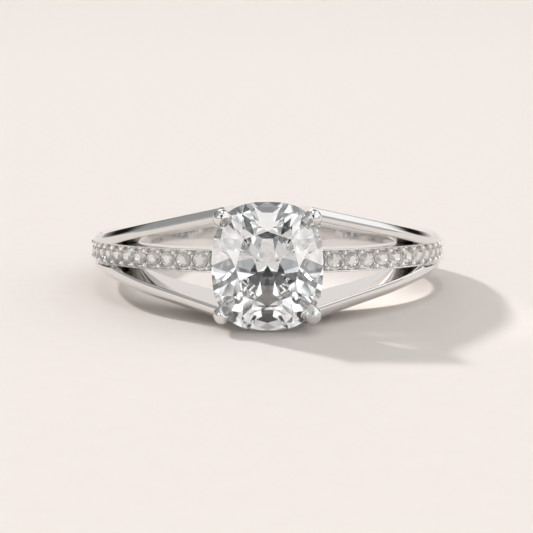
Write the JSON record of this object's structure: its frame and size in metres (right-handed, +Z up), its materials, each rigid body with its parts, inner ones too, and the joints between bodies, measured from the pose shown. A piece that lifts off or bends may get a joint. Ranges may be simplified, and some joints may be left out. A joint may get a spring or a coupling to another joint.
{
  "type": "split shank ring",
  "caption": "Finger ring lying on its side: a plain hoop that splits into two polished arms and a paved strip, rising to a cushion stone in four claws.",
  "frame": {"origin": "on the surface the ring lies on, under the middle of its box", "axes": "+Z up from the surface; -Y towards the centre stone's table; +X to the right of someone who looks at the table. The finger hole's axis leans about 5.8 degrees from +Z towards +Y."},
  "size_m": [0.0206, 0.024, 0.0064],
  "materials": {
    "metal": "polished white gold",
    "centre_diamond": "clear faceted diamond",
    "pave_diamond": "clear small faceted diamonds"
  },
  "bodies": {
    "root": {"ring_mount": "metal", "centre_stone": "centre_diamond", "pave_stone_left_1": "pave_diamond", "pave_stone_left_2": "pave_diamond", "pave_stone_left_3": "pave_diamond", "pave_stone_left_4": "pave_diamond", "pave_stone_left_5": "pave_diamond", "pave_stone_left_6": "pave_diamond", "pave_stone_left_7": "pave_diamond", "pave_stone_left_8": "pave_diamond", "pave_stone_left_9": "pave_diamond", "pave_stone_left_10": "pave_diamond", "pave_stone_left_11": "pave_diamond", "pave_stone_left_12": "pave_diamond", "pave_stone_left_13": "pave_diamond", "pave_stone_left_14": "pave_diamond", "pave_stone_left_15": "pave_diamond", "pave_stone_right_1": "pave_diamond", "pave_stone_right_2": "pave_diamond", "pave_stone_right_3": "pave_diamond", "pave_stone_right_4": "pave_diamond", "pave_stone_right_5": "pave_diamond", "pave_stone_right_6": "pave_diamond", "pave_stone_right_7": "pave_diamond", "pave_stone_right_8": "pave_diamond", "pave_stone_right_9": "pave_diamond", "pave_stone_right_10": "pave_diamond", "pave_stone_right_11": "pave_diamond", "pave_stone_right_12": "pave_diamond", "pave_stone_right_13": "pave_diamond", "pave_stone_right_14": "pave_diamond", "pave_stone_right_15": "pave_diamond"}
  },
  "joints": []
}
